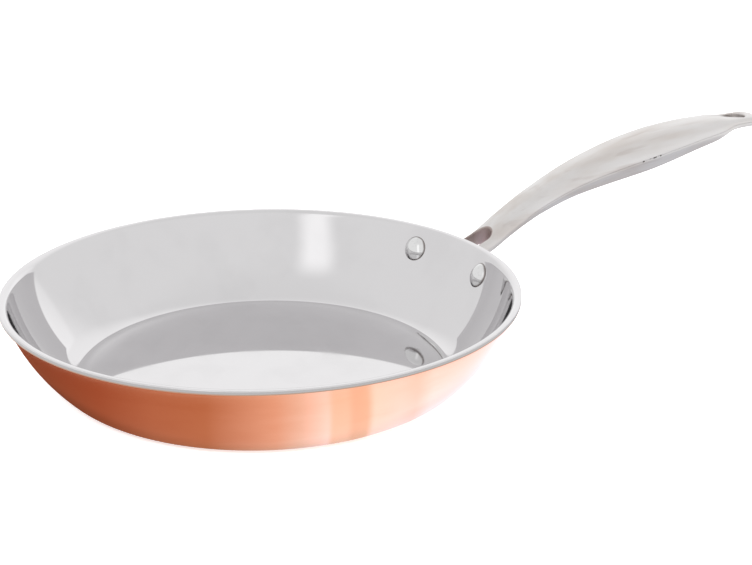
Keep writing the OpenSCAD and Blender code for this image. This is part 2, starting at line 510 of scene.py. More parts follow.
def along(places: list[float], values: list[float], x: float) -> float:
    """Smooth curve through values at places, with slopes taken from each place's neighbours.

    Args:
        places: Places in rising order.
        values: A value for each place.
        x: Where the curve is read.

    Returns:
        The value there.
    """
    last = len(places) - 1
    i = max((k for k in range(last) if x >= places[k]), default=0)

    def slope(k: int) -> float:
        """Slope of the curve at place k."""
        low, high = max(k - 1, 0), min(k + 1, last)
        return (values[high] - values[low]) / (places[high] - places[low])

    width = places[i + 1] - places[i]
    t = (x - places[i]) / width
    u = 1 - t
    ends = values[i] * u * u * (1 + 2 * t) + values[i + 1] * t * t * (3 - 2 * t)
    return ends + width * t * u * (u * slope(i) - t * slope(i + 1))


@dataclass
class HandleShape:
    """The handle's seam line and its sections: rounded arches over and under the seam."""

    rim_r: float
    rivet_z: float
    root_x: float
    length: float = 227 * MM
    rise: float = 44.2 * MM
    shell_t: float = 1.5 * MM
    joint_l: float = 38 * MM
    eye_w: float = 18 * MM
    root_w: float = 38 * MM
    fork_w: float = 20 * MM
    flare_l: float = 14 * MM
    tip_thin_share: float = 0.45
    least_w_share: float = 0.5
    least_t_share: float = 0.25
    seam: str = "from_seam"
    size_shares: tuple[float, ...] = (0.07, 0.22, 0.58, 0.83, 0.895, 1)
    widths: tuple[float, ...] = (20, 20, 20.4, 28, 22.4, 18, 17.28)
    thicks: tuple[float, ...] = (9.45, 10.5, 14.8, 24.2, 16, 8.5, 7.14)
    tops: tuple[float, ...] = (2.4, 2.4, 2.3, 2.3, 2.5, 3, 3.2)
    bottoms: tuple[float, ...] = (2.2, 2.2, 1.9, 1.75, 1.9, 2.6, 3.2)
    climb_x_shares: tuple[float, ...] = (
        0, 0.06, 0.12, 0.17, 0.22, 0.33, 0.46, 0.6, 0.74, 0.83, 0.89, 0.94, 1,
    )
    climb_shares: tuple[float, ...] = (
        0.03, 0.07, 0.157, 0.308, 0.422, 0.522, 0.685, 0.797, 0.874, 0.937, 0.965, 1, 0.997, 0.98,
    )

    def __post_init__(self) -> None:
        """Turns the shares into places in the frame."""
        self.size_x = [self.root_x] + [self.rim_r + s * self.length for s in self.size_shares]
        self.climb_x = [self.root_x] + [self.rim_r + s * self.length for s in self.climb_x_shares]
        self.climb_z = [self.rivet_z + s * self.rise for s in self.climb_shares]
        self.joint_x = self.rim_r + self.joint_l
        self.tip_x = self.rim_r + self.length
        self.tip_turn_x = self.tip_x - self.eye_w / 2

    def tip_turn(self, x: float) -> float:
        """How far round the tip a place is, from 0 to 1."""
        return min(1, max(0, (x - self.tip_turn_x) / (self.tip_x - self.tip_turn_x)))

    def seam_z(self, x: float) -> float:
        """Height of the seam."""
        return along(self.climb_x, self.climb_z, x)

    def half_w(self, x: float) -> float:
        """Half the width, spread into the flange at the root and turned in at the tip.

        Args:
            x: Place along the handle.

        Returns:
            Half the width there.
        """
        flare = max(0, 1 - (x - self.root_x) / self.flare_l) ** 2
        width = along(self.size_x, self.widths, x) * MM + flare * (self.root_w - self.fork_w)
        return width / 2 * math.sqrt(1 - self.tip_turn(x) ** 2)

    def half_t(self, x: float) -> float:
        """Half the thickness, thinned at the tip."""
        thin = 1 - self.tip_thin_share * self.tip_turn(x) ** 3
        return along(self.size_x, self.thicks, x) * MM / 2 * thin

    def power(self, x: float, side: Side) -> float:
        """How square an arch is."""
        return 2 / along(self.size_x, self.tops if side is Side.UPPER else self.bottoms, x)

    def surface_z(self, x: float, y: float, side: Side) -> float:
        """Height of the handle's surface over a point.

        Args:
            x: Place along the handle.
            y: Place across it.
            side: Which half's surface.

        Returns:
            The surface's height.
        """
        square = 2 / self.power(x, side)
        share = min(1, abs(y) / self.half_w(x))
        rise = self.half_t(x) * (1 - share**square) ** (1 / square)
        return self.seam_z(x) + side.value * rise

    def arch(self, x: float, side: Side, steps: int, inset: float = 0, cut: float = 0) -> Ring:
        """One side of a section, from +Y to -Y.

        Args:
            x: Place along the handle.
            side: Over or under the seam.
            steps: Number of steps.
            inset: Distance inside the outer surface.
            cut: Height over the seam at which the arch starts and ends.

        Returns:
            The arch's points.
        """
        w = max(self.half_w(x) - inset, self.half_w(x) * self.least_w_share)
        t = max(self.half_t(x) - inset, self.half_t(x) * self.least_t_share)
        power = self.power(x, side)
        first = math.asin(min(1, cut / t) ** (1 / power))
        ring = []
        for i in range(steps + 1):
            a = first + (math.pi - 2 * first) * i / steps
            out = math.copysign(w * abs(math.cos(a)) ** power, math.cos(a))
            up = t * math.sin(a) ** power
            ring.append(Vector((x, out, self.seam_z(x) + side.value * up)))
        return ring

    def section(self, x: float, steps: int) -> Ring:
        """A whole section: the upper arch, then the lower one back again.

        Args:
            x: Place along the handle.
            steps: Number of steps in each arch.

        Returns:
            The section's points.
        """
        upper = self.arch(x, Side.UPPER, steps)
        lower = self.arch(x, Side.LOWER, steps)
        return upper + lower[-2:0:-1]

    def mark_seam(self, piece: bpy.types.Object) -> None:
        """Writes each point's height over the seam on a piece of the handle.

        Args:
            piece: The piece.
        """
        seam = piece.data.attributes.new(self.seam, "FLOAT", "POINT")
        for vertex, value in zip(piece.data.vertices, seam.data):
            value.value = vertex.co.z - self.seam_z(vertex.co.x)


@dataclass
class HollowHandle(SubAssembly):
    """The two welded half shells, with the hanging eye cut through both."""

    shape: HandleShape
    seam_r: float = 0.22 * MM
    seam_gap: float = 0.02 * MM
    outer_steps: int = 48
    inner_steps: int = 24
    edge_steps: int = 4
    shell_steps: int = 70
    tip_steps: int = 22
    tip_last: float = math.radians(87)
    hole_w: float = 11 * MM
    hole_l: float = 26 * MM
    hole_edge: float = 10.5 * MM
    hole_lip: float = 1.2 * MM
    hole_steps: int = 40
    straight_steps: int = 8
    lip_steps: int = 6
    cavity_edge: float = 4 * MM
    overrun: float = 4 * MM

    def __post_init__(self) -> None:
        """Works out where the hole is."""
        self.hole_x = self.shape.tip_x - self.hole_edge - self.hole_w / 2
        self.point_x = self.hole_x + self.hole_w / 2 - self.hole_l

    def edge(self, corner: Vector, side: Side, way: int) -> Ring:
        """The rounding where a shell's outside turns in along the seam.

        Args:
            corner: Where the arch starts, one rounding above the seam.
            side: Which shell.
            way: 1 on the +Y side, -1 on the -Y side.

        Returns:
            Points from the arch's start inwards.
        """
        points = []
        for i in range(1, self.edge_steps + 1):
            a = math.pi / 2 * i / self.edge_steps
            inwards, down = self.seam_r * (1 - math.cos(a)), self.seam_r * math.sin(a)
            points.append(corner - Vector((0, way * inwards, side.value * down)))
        return points

    def ring(self, x: float, side: Side) -> Ring:
        """Section of one shell: outside, rounded seam edges, and inside.

        Args:
            x: Place along the handle.
            side: Which shell.

        Returns:
            The section's points.
        """
        s = self.shape
        outer = s.arch(x, side, self.outer_steps, cut=self.seam_r + self.seam_gap)
        inner = s.arch(x, side, self.inner_steps, inset=s.shell_t, cut=self.seam_gap)
        left, right = self.edge(outer[0], side, 1), self.edge(outer[-1], side, -1)
        return left[::-1] + outer + right + inner[::-1]

    def half(self, name: str, side: Side) -> bpy.types.Object:
        """Makes one shell, and cuts its half of the hanging eye.

        Args:
            name: Name of the piece.
            side: Upper or lower shell.

        Returns:
            The shell.
        """
        s = self.shape
        run = s.tip_turn_x - s.joint_x
        places = [s.joint_x + run * i / self.shell_steps for i in range(self.shell_steps)]
        for i in range(self.tip_steps + 1):
            turn = self.tip_last * i / self.tip_steps
            places.append(s.tip_turn_x + (s.tip_x - s.tip_turn_x) * math.sin(turn))
        piece = Bench.loft(name, [self.ring(x, side) for x in places])
        Bench.combine(piece, self.filling(side), Meet.ADD)
        Bench.combine(piece, self.hole_tool(), Meet.CUT)
        Bench.shade(piece)
        s.mark_seam(piece)
        return piece

    def filling(self, side: Side) -> bpy.types.Object:
        """The solid stretch round the hanging eye, where the shell's hollow ends.

        Args:
            side: Which shell.

        Returns:
            The solid, to be joined to the shell.
        """
        s = self.shape
        start = self.point_x - self.cavity_edge
        end = s.tip_x - s.shell_t
        rings = []
        for i in range(self.tip_steps + 1):
            x = start + (end - start) * i / self.tip_steps
            rings.append(s.arch(x, side, self.inner_steps, inset=s.shell_t / 2, cut=self.seam_gap))
        return Bench.loft("eye_filling", rings)

    def outline(self, grow: float) -> list[Pair]:
        """Outline of the teardrop hole, grown all round.

        Args:
            grow: Distance outside the hole's own outline.

        Returns:
            Points round the outline, from the point that faces the pan.
        """
        r = self.hole_w / 2
        reach = self.hole_l - r
        touch = math.acos(r / reach)
        start, end = touch - math.pi / 2, 3 * math.pi / 2 - touch
        round_end = arc(Vector((0, 0)), r + grow, start, end, self.hole_steps)
        point = Vector((-reach - grow / math.cos(touch), 0))
        shares = [i / self.straight_steps for i in range(self.straight_steps)]
        first = [point.lerp(round_end[0], share) for share in shares]
        last = [round_end[-1].lerp(point, share) for share in shares[1:]]
        return [(self.hole_x + p.x, p.y) for p in first + round_end + last]

    def hole_tool(self) -> bpy.types.Object:
        """The cutter of the hole, flared where it meets the handle's surfaces.

        Returns:
            The cutter.
        """
        s = self.shape
        rings = []
        for side in (Side.LOWER, Side.UPPER):
            level = []
            for i in range(self.lip_steps + 1):
                a = math.pi / 2 * i / self.lip_steps
                outline = self.outline(self.hole_lip * (1 - math.cos(a)))
                under = side.value * self.hole_lip * (1 - math.sin(a))
                level.append([Vector((x, y, s.surface_z(x, y, side) - under)) for x, y in outline])
            past = [p + Vector((0, 0, side.value * self.overrun)) for p in level[-1]]
            stack = level + [past]
            rings += stack[::-1] if side is Side.LOWER else stack
        return Bench.loft("hole_tool", rings)

    def build(self) -> dict[str, bpy.types.Object]:
        """Makes both shells, by the name of the node that each stands for."""
        return {
            "handle_upper_shell": self.half("upper_shell", Side.UPPER),
            "handle_lower_shell": self.half("lower_shell", Side.LOWER),
        }


@dataclass
class CastNeck(SubAssembly):
    """The neck: fork, slot and flange, run together as one casting."""

    shape: HandleShape
    pan: PanShape
    rivets: RivetSet
    slot_w: float = 12 * MM
    slot_l: float = 18.5 * MM
    flange_h: float = 17 * MM
    bed: float = 0.3 * MM
    spare: float = 6 * MM
    overrun: float = 5 * MM
    voxel: float = 0.45 * MM
    smooth_rounds: int = 14
    smooth_factor: float = 0.5
    neck_steps: int = 30
    section_steps: int = 32
    bow_steps: int = 16
    turn_steps: int = 144

    def slot_tool(self) -> bpy.types.Object:
        """The round-ended cutter of the slot between the fork's legs.

        Returns:
            The cutter.
        """
        r = self.slot_w / 2
        end = Vector((self.pan.rim_r + self.slot_l - r, 0))
        start_x = self.shape.root_x - self.overrun
        outline = [Vector((start_x, -r)), *arc(end, r, 0, math.pi, self.bow_steps)]
        outline.append(Vector((start_x, r)))
        top = self.pan.height + self.shape.rise
        return Bench.loft("slot_tool", [[Vector((*p, z)) for p in outline] for z in (0, top)])

    def pan_tool(self) -> bpy.types.Object:
        """Everything inside the pan's outer skin, which the casting beds against.

        Returns:
            The cutter.
        """
        skin = [tuple(p) for p in self.pan.skin(self.bed)]
        top = self.pan.height + self.overrun
        return Bench.spin("pan_tool", skin + [(self.pan.rim_r, top), (0, top)], self.turn_steps)

    def plate(self) -> bpy.types.Object:
        """The curved, round-ended plate that the rivets hold.

        Returns:
            The plate.
        """
        outline = self.pan.wall(self.bed) + self.pan.wall(-self.rivets.flange_t)[::-1]
        piece = Bench.spin("plate", [tuple(p) for p in outline], self.turn_steps)
        r = self.flange_h / 2
        half = self.rivets.pitch / 2
        bow = arc(Vector((0, half)), r, math.pi / 2, 3 * math.pi / 2, self.bow_steps)
        bow += arc(Vector((0, -half)), r, -math.pi / 2, math.pi / 2, self.bow_steps)
        deep = 2 * self.flange_h
        blank = Bench.loft("blank", [[Vector((*p, z)) for p in bow] for z in (-deep, deep)])
        Bench.place(blank, self.rivets.axis(0))
        Bench.combine(piece, blank, Meet.KEEP)
        return piece

    def build(self) -> dict[str, bpy.types.Object]:
        """Makes the casting.

        Returns:
            The casting, by the name of the node that it stands for.
        """
        s = self.shape
        run = s.joint_x + self.spare - s.root_x
        places = [s.root_x + run * i / self.neck_steps for i in range(self.neck_steps + 1)]
        piece = Bench.loft("cast_neck", [s.section(x, self.section_steps) for x in places])
        Bench.combine(piece, self.slot_tool(), Meet.CUT)
        Bench.combine(piece, self.pan_tool(), Meet.CUT)
        Bench.join(piece, self.plate())
        Bench.modify(piece, "REMESH", mode="VOXEL", voxel_size=self.voxel)
        Bench.modify(piece, "SMOOTH", factor=self.smooth_factor, iterations=self.smooth_rounds)
        bpy.ops.object.mode_set(mode="EDIT")
        bpy.ops.mesh.select_all(action="SELECT")
        bpy.ops.mesh.bisect(
            plane_co=(s.joint_x, 0, 0), plane_no=(1, 0, 0), use_fill=True, clear_outer=True
        )
        bpy.ops.object.mode_set(mode="OBJECT")
        Bench.shade(piece)
        s.mark_seam(piece)
        return {"handle_neck": piece}


class Wire:
    """A value that changes over a surface: one output of a node."""

    def __init__(self, paint: "Paint", socket: bpy.types.NodeSocket | None) -> None:
        """Keeps the socket and the material that it belongs to."""
        self.paint = paint
        self.socket = socket

    def math(self, operation: str, *values: Any) -> "Wire":
        """Adds a Math node on these values."""
        return self.paint.node("ShaderNodeMath", {"operation": operation}, dict(enumerate(values)))

    def __add__(self, other: Any) -> "Wire":
        """Sum."""
        return self.math("ADD", self, other)

    def __radd__(self, other: Any) -> "Wire":
        """Sum, from the right."""
        return self.math("ADD", other, self)

    def __sub__(self, other: Any) -> "Wire":
        """Difference."""
        return self.math("SUBTRACT", self, other)

    def __rsub__(self, other: Any) -> "Wire":
        """Difference, from the right."""
        return self.math("SUBTRACT", other, self)

    def __mul__(self, other: Any) -> "Wire":
        """Product."""
        return self.math("MULTIPLY", self, other)

    def __rmul__(self, other: Any) -> "Wire":
        """Product, from the right."""
        return self.math("MULTIPLY", other, self)

    def __truediv__(self, other: Any) -> "Wire":
        """Quotient."""
        return self.math("DIVIDE", self, other)

    def __abs__(self) -> "Wire":
        """Size without its sign."""
        return self.math("ABSOLUTE", self)

    def above(self, low: float, high: float) -> "Wire":
        """A mask that rises smoothly from 0 at low to 1 at high."""
        return self.paint.node(
            "ShaderNodeMapRange",
            {"interpolation_type": "SMOOTHSTEP"},
            {0: self, 1: low, 2: high, 3: 0.0, 4: 1.0},
        )


class Paint:
    """A material's nodes, written as short expressions."""

    COARSE = 2
    FINE = 3
    AXIS_SPARE = 0.02 * MM
    RISE_SHARE = 0.7
    MIX_LOW, MIX_HIGH, MIX_RESULT = 6, 7, 2

    def __init__(self, name: str, library: Any = None) -> None:
        """Starts an empty node tree.

        Args:
            name: Name of the material or world.
            library: Where it is made, which is the materials unless something else is given.
        """
        self.material = (bpy.data.materials if library is None else library).new(name)
        self.material.use_nodes = True
        self.tree = self.material.node_tree
        self.tree.nodes.clear()

    def node(
        self,
        kind: str,
        settings: dict[str, Any] | None = None,
        inputs: dict[Any, Any] | None = None,
        output: Any = 0,
    ) -> Wire:
        """Adds any node.

        Args:
            kind: The node's type.
            settings: Its settings, and a ramp's stops as pairs of place and colour.
            inputs: Values or wires for its sockets, by name or number.
            output: Name or number of the output that is used.

        Returns:
            That output, or a wire with no socket if the node has none.
        """
        made = self.tree.nodes.new(kind)
        for key, value in (settings or {}).items():
            if key == "stops":
                for at, colour in value[len(made.color_ramp.elements):]:
                    made.color_ramp.elements.new(at)
                for element, (at, colour) in zip(made.color_ramp.elements, value):
                    element.position = at
                    element.color = rgba(colour)
            else:
                setattr(made, key, value)
        for key, value in (inputs or {}).items():
            if isinstance(value, Wire):
                self.tree.links.new(value.socket, made.inputs[key])
            else:
                made.inputs[key].default_value = value
        return Wire(self, made.outputs[output] if made.outputs else None)

    def place(self) -> Wire:
        """A point's place in the frame."""
        return self.node("ShaderNodeTexCoord", output="Object")

    def attribute(self, name: str) -> Wire:
        """A value that was written on the mesh."""
        return self.node("ShaderNodeAttribute", {"attribute_name": name}, None, "Fac")

    def parts(self, vector: Wire) -> tuple[Wire, Wire, Wire]:
        """The three parts of a vector.

        Args:
            vector: The vector, or a colour.

        Returns:
            Its parts, in order.
        """
        first = self.node("ShaderNodeSeparateXYZ", None, {0: vector})
        outputs = first.socket.node.outputs
        return first, Wire(self, outputs[1]), Wire(self, outputs[2])

    def vector(self, x: Any, y: Any, z: Any) -> Wire:
        """A vector from three values."""
        return self.node("ShaderNodeCombineXYZ", None, {0: x, 1: y, 2: z})

    def length(self, vector: Wire) -> Wire:
        """Length of a vector."""
        return self.node("ShaderNodeVectorMath", {"operation": "LENGTH"}, {0: vector}, "Value")

    def noise(self, vector: Wire, scale: float = 1, detail: float = FINE) -> Wire:
        """Smooth noise from 0 to 1."""
        return self.node(
            "ShaderNodeTexNoise",
            {"noise_dimensions": "3D"},
            {"Vector": vector, "Scale": scale, "Detail": detail},
        )

    def scaled(self, vector: Wire, scales: Triple | Wire) -> Wire:
        """A place or a colour, with each of its parts scaled."""
        return self.node(
            "ShaderNodeVectorMath", {"operation": "MULTIPLY"}, {0: vector, 1: scales}
        )

    def turned(self, round_scale: float, out_scale: float) -> Wire:
        """A place for patterns that run in circles about the Z axis.

        Args:
            round_scale: How fast the pattern changes round a circle.
            out_scale: How fast it changes from one circle to the next.

        Returns:
            The place, as a vector.
        """
        x, y, z = self.parts(self.place())
        out = self.length(self.vector(x, y, 0.0))
        near = out + self.AXIS_SPARE
        return self.vector(
            x / near * round_scale,
            y / near * round_scale,
            (out + z * self.RISE_SHARE) * out_scale,
        )

    def facing(self, vector: Wire, way: Vector) -> Wire:
        """How far a vector reaches along a direction."""
        return self.node(
            "ShaderNodeVectorMath", {"operation": "DOT_PRODUCT"}, {0: vector, 1: way}, "Value"
        )

    def blend(self, mask: Any, low: Any, high: Any) -> Wire:
        """Mixes two colours by a mask."""
        sockets = {0: mask, self.MIX_LOW: low, self.MIX_HIGH: high}
        return self.node("ShaderNodeMix", {"data_type": "RGBA"}, sockets, self.MIX_RESULT)

    def bump(self, height: Wire, distance: float) -> Wire:
        """Surface relief from a height."""
        return self.node(
            "ShaderNodeBump", None, {"Strength": 1.0, "Distance": distance, "Height": height}
        )

    def shader(self, kind: str, sockets: dict[str, Any]) -> bpy.types.Material:
        """Adds a shader, and ends the node tree with it.

        Args:
            kind: The shader's type.
            sockets: Values or wires for its sockets.

        Returns:
            The material.
        """
        surface = self.node(kind, None, sockets)
        self.node("ShaderNodeOutputMaterial", None, {"Surface": surface})
        return self.material

    def metal(
        self, colour: Any, roughness: Any, normal: Wire, bare: float = 1.0
    ) -> bpy.types.Material:
        """Finishes the material as a bare metal.

        Args:
            colour: Colour of its reflections.
            roughness: Roughness of its surface.
            normal: Its relief.
            bare: How free it is of haze.

        Returns:
            The material.
        """
        return self.shader(
            "ShaderNodeBsdfPrincipled",
            {"Base Color": colour, "Roughness": roughness, "Metallic": bare, "Normal": normal},
        )


def rgba(colour: Triple) -> tuple[float, float, float, float]:
    """An opaque colour."""
    return (*colour, 1.0)


@dataclass(frozen=True)
class MirrorSteel:
    """Mirror-polished stainless steel, with faint polishing circles and wiped patches."""

    name: str = "mirror_steel"
    colour: Triple = (0.668, 0.658, 0.666)
    dull: Triple = (0.648, 0.638, 0.646)
    bare: float = 0.982
    circle_scales: Pair = (2.5, 2600)
    wipe_scale: float = 38
    wipe_range: Pair = (0.45, 0.7)
    roughness: float = 0.02
    wipe_rough: float = 0.025
    circle_rough: float = 0.02
    relief: float = 0.0006 * MM

    def paint(self) -> bpy.types.Material:
        """Makes the material.

        Returns:
            The material.
        """
        p = Paint(self.name)
        circles = p.noise(p.turned(*self.circle_scales), detail=p.COARSE)
        wipes = p.noise(p.place(), self.wipe_scale).above(*self.wipe_range)
        colour = p.blend(wipes, rgba(self.colour), rgba(self.dull))
        roughness = self.roughness + wipes * self.wipe_rough + circles * self.circle_rough
        return p.metal(colour, roughness, p.bump(circles, self.relief), self.bare)


@dataclass(frozen=True)
class PolishedCopper:
    """Polished copper with a circular grain, darker toning, a scuffed foot, and painted shade that
    darkens its cut edge at the rim.
    """

    name: str = "polished_copper"
    colour: Triple = (0.93, 0.48, 0.32)
    toned: Triple = (0.87, 0.40, 0.24)
    scuffed: Triple = (0.78, 0.40, 0.27)
    # Painted shade: colour of the copper's cut edge at the rim, darkened where it sits just under
    # the steel lip.
    rim_edge_shade: Triple = (0.50, 0.33, 0.25)
    grain_scales: Pair = (3, 2400)
    tone_scales: Pair = (2, 60)
    tone_range: Pair = (0.42, 0.72)
    tone_share: float = 0.5
    foot: float = 2.5 * MM
    scuff_scale: float = 900
    scuff_range: Pair = (0.45, 0.6)
    scuff_share: float = 0.7
    trim_z: float = PanShape.height - PanShape.copper_t - PanShape.core_t - PanShape.liner_t
    trim_soft: float = 0.15 * MM
    roughness: float = 0.13
    grain_rough: float = 0.06
    tone_rough: float = 0.03
    scuff_rough: float = 0.16
    trim_rough: float = 0.2
    relief: float = 0.004 * MM

    def paint(self) -> bpy.types.Material:
        """Makes the material.

        Returns:
            The material.
        """
        p = Paint(self.name)
        grain = p.noise(p.turned(*self.grain_scales))
        tone = p.noise(p.turned(*self.tone_scales)).above(*self.tone_range)
        height = p.parts(p.place())[2]
        foot = 1 - height.above(0.0, self.foot)
        scuffs = foot * p.noise(p.place(), self.scuff_scale).above(*self.scuff_range)
        trim = height.above(self.trim_z - self.trim_soft, self.trim_z)
        colour = p.blend(tone * self.tone_share, rgba(self.colour), rgba(self.toned))
        colour = p.blend(scuffs * self.scuff_share, colour, rgba(self.scuffed))
        # Painted shade on the cut edge at the rim, just under the steel lip.
        colour = p.blend(trim, colour, rgba(self.rim_edge_shade))
        roughness = self.roughness + grain * self.grain_rough + tone * self.tone_rough
        roughness = roughness + scuffs * self.scuff_rough + trim * self.trim_rough
        return p.metal(colour, roughness, p.bump(grain, self.relief))


@dataclass(frozen=True)
class CutAluminium:
    """The cut edge of the core, with fine turning lines."""

    name: str = "cut_aluminium"
    colour: Triple = (0.50, 0.49, 0.49)
    dull: Triple = (0.43, 0.42, 0.42)
    line_scales: Pair = (5, 9000)
    roughness: float = 0.2
    line_rough: float = 0.12
    relief: float = 0.006 * MM

    def paint(self) -> bpy.types.Material:
        """Makes the material.

        Returns:
            The material.
        """
        p = Paint(self.name)
        lines = p.noise(p.turned(*self.line_scales), detail=p.COARSE)
        colour = p.blend(lines, rgba(self.colour), rgba(self.dull))
        roughness = self.roughness + lines * self.line_rough
        return p.metal(colour, roughness, p.bump(lines, self.relief))


@dataclass(frozen=True)
class SatinSteel:
    """Satin-brushed steel, grained along the handle, with pits in its weld, and a rough slot
    darkened to a brownish grey as painted shade.
    """

    name: str = "handle_satin"
    colour: Triple = (0.70, 0.685, 0.68)
    warm: Triple = (0.62, 0.58, 0.555)
    streak: Triple = (0.50, 0.45, 0.43)
    pit: Triple = (0.16, 0.14, 0.13)
    # Painted shade: a brownish dark grey for the slot's inside.
    slot_shade: Triple = (0.42, 0.35, 0.33)
    grain_scales: Triple = (45, 2600, 2600)
    broad_scales: Triple = (14, 90, 90)
    broad_range: Pair = (0.35, 0.7)
    streak_scales: Triple = (16, 240, 240)
    streak_range: Pair = (0.56, 0.74)
    streak_share: float = 0.4
    seam_reach: Pair = (0.25 * MM, 0.6 * MM)
    weld: Pair = (245 * MM, 266 * MM)
    weld_end: float = 1 * MM
    weld_starts: Pair = (0.0, 0.1)
    speck_scales: Triple = (420, 200, 200)
    speck_range: Pair = (0.6, 0.64)
    speck_gain: float = 0.06
    slot_from: float = PanShape.rim_r
    slot_start: float = 2 * MM
    slot_r: float = CastNeck.slot_w / 2
    slot_x: float = PanShape.rim_r + CastNeck.slot_l - CastNeck.slot_w / 2
    slot_edge: Pair = (0.3 * MM, 0.8 * MM)
    roughness: float = 0.27
    grain_rough: float = 0.12
    broad_rough: float = 0.05
    pit_rough: float = 0.3
    slot_rough: float = 0.2
    relief: float = 0.02 * MM
    grain_relief: float = 0.35
    pit_relief: float = 3

    def pits(self, p: Paint, place: Wire) -> Wire:
        """Pits along the welded seam.

        Args:
            p: The node tree that they are made in.
            place: The point's place.

        Returns:
            A mask of the pits.
        """
        x = p.parts(place)[0]
        low, high = self.weld
        patch = x.above(low, high) * (1 - x.above(high, high + self.weld_end))
        specks = p.noise(p.scaled(place, self.speck_scales), detail=p.COARSE)
        specks = (specks + patch * self.speck_gain).above(*self.speck_range)
        on_seam = 1 - abs(p.attribute(HandleShape.seam)).above(*self.seam_reach)
        return on_seam * specks * patch.above(*self.weld_starts)

    def slot(self, p: Paint, place: Wire) -> Wire:
        """The slot's inside, past the pan's rim: the casting's rougher surface, darkened as painted
        shade.

        Args:
            p: The node tree that it is made in.
            place: The point's place.

        Returns:
            A mask of the slot.
        """
        x, y, _ = p.parts(place)
        past = x - self.slot_x
        out = p.length(p.vector(past.math("MAXIMUM", past, 0.0), y, 0.0)) - self.slot_r
        started = x.above(self.slot_from, self.slot_from + self.slot_start)
        return started * (1 - out.above(*self.slot_edge))

    def paint(self) -> bpy.types.Material:
        """Makes the material.

        Returns:
            The material.
        """
        p = Paint(self.name)
        place = p.place()
        grain = p.noise(p.scaled(place, self.grain_scales))
        broad = p.noise(p.scaled(place, self.broad_scales)).above(*self.broad_range)
        streaks = p.noise(p.scaled(place, self.streak_scales), detail=p.COARSE)
        streaks = streaks.above(*self.streak_range)
        pits, slot = self.pits(p, place), self.slot(p, place)
        colour = p.blend(broad, rgba(self.colour), rgba(self.warm))
        colour = p.blend(streaks * self.streak_share, colour, rgba(self.streak))
        colour = p.blend(pits, colour, rgba(self.pit))
        # Painted shade darkens the slot's inside. Its extra roughness is the casting's real
        # surface.
        colour = p.blend(slot, colour, rgba(self.slot_shade))
        roughness = self.roughness + grain * self.grain_rough + broad * self.broad_rough
        roughness = roughness + pits * self.pit_rough + slot * self.slot_rough
        relief = grain * self.grain_relief - pits * self.pit_relief
        return p.metal(colour, roughness, p.bump(relief, self.relief))


@dataclass(frozen=True)
class RivetSteel:
    """Polished rivets, with the faint marks of the setting tool, and painted shade that darkens
    each head's foot where it meets the wall.
    """

    name: str = "rivet_polish"
    colour: Triple = (0.74, 0.74, 0.74)
    marked: Triple = (0.60, 0.60, 0.60)
    # Painted shade at the foot of each head, where it meets the wall.
    foot_shade: Triple = (0.16, 0.13, 0.12)
    mark_scale: float = 700
    mark_range: Pair = (0.55, 0.75)
    mark_share: float = 0.5
    uneven_scale: float = 260
    uneven: float = 0.8 * MM
    foot_range: Pair = (0.1 * MM, 0.8 * MM)
    foot_share: float = 0.85
    fine_scale: float = 4000
    roughness: float = 0.04
    mark_rough: float = 0.1
    foot_rough: float = 0.2
    relief: float = 0.001 * MM

    def paint(self) -> bpy.types.Material:
        """Makes the material.

        Returns:
            The material.
        """
        p = Paint(self.name)
        marks = p.noise(p.place(), self.mark_scale).above(*self.mark_range)
        fine = p.noise(p.place(), self.fine_scale, p.COARSE)
        uneven = p.noise(p.place(), self.uneven_scale, p.COARSE) * self.uneven
        foot = 1 - (p.attribute(RivetSet.lift) - uneven).above(*self.foot_range)
        colour = p.blend(marks * self.mark_share, rgba(self.colour), rgba(self.marked))
        # Painted shade: the colour darkens towards the foot of each head, where shadow falls
        # against the wall.
        colour = p.blend(foot * self.foot_share, colour, rgba(self.foot_shade))
        roughness = self.roughness + marks * self.mark_rough + foot * self.foot_rough
        return p.metal(colour, roughness, p.bump(fine, self.relief))


@dataclass(frozen=True)
class Glow:
    """A soft patch of the room's light: its direction, the angles it fades over, its strength."""

    turn: float
    rise: float
    inner: float
    outer: float
    strength: float


